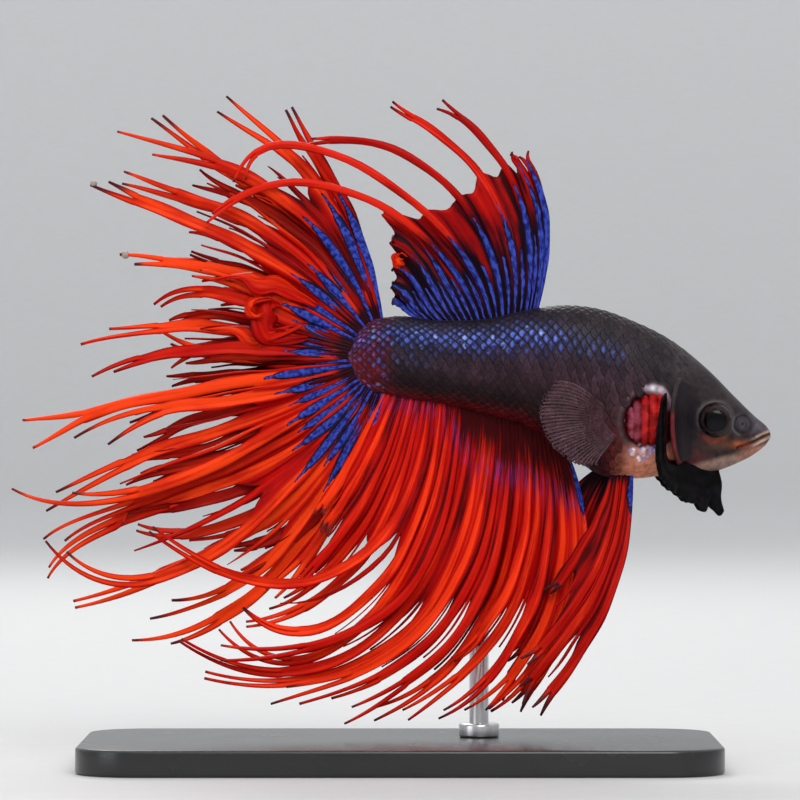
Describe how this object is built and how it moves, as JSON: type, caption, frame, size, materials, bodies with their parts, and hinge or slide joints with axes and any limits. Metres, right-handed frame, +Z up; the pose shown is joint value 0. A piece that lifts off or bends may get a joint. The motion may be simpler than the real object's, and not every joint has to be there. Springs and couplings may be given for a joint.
{
  "type": "betta fish display model",
  "caption": "Life-size still model of a flaring male crowntail betta with spread, fringed fins, held over a flat base by a thin rod.",
  "frame": {"origin": "middle of the underside of the stand's base", "axes": "+X towards the fish's head, along its length; +Y towards the fish's left side, across the stand; +Z up"},
  "size_m": [0.0859, 0.04, 0.0751],
  "materials": {
    "slate_skin": "satin scaled skin, charcoal with a blue sheen",
    "mauve_skin": "satin scaled skin, dark mauve with blue flecks",
    "peach_skin": "satin",
    "gill_red": "wet gloss",
    "black_web": "matt",
    "eye_black": "wet gloss",
    "fin_red": "silky, with blue streaks by the body",
    "fin_mauve": "clear film with mauve rays",
    "stand_black": "satin",
    "rod_steel": "brushed"
  },
  "bodies": {
    "root": {"anal_fin": "fin_red", "beard_left": "black_web", "beard_right": "black_web", "caudal_fin": "fin_red", "dorsal_fin": "fin_red", "eye_left": "eye_black", "eye_right": "eye_black", "gill_cover_left": "slate_skin", "gill_cover_right": "slate_skin", "gills_left": "gill_red", "gills_right": "gill_red", "head": "slate_skin", "lower_jaw": "peach_skin", "pectoral_fin_left": "fin_mauve", "pectoral_fin_right": "fin_mauve", "pelvic_fin_left": "fin_red", "pelvic_fin_right": "fin_red", "stand_base": "stand_black", "stand_rod": "rod_steel", "tail_stalk": "mauve_skin", "trunk": "slate_skin"}
  },
  "joints": []
}
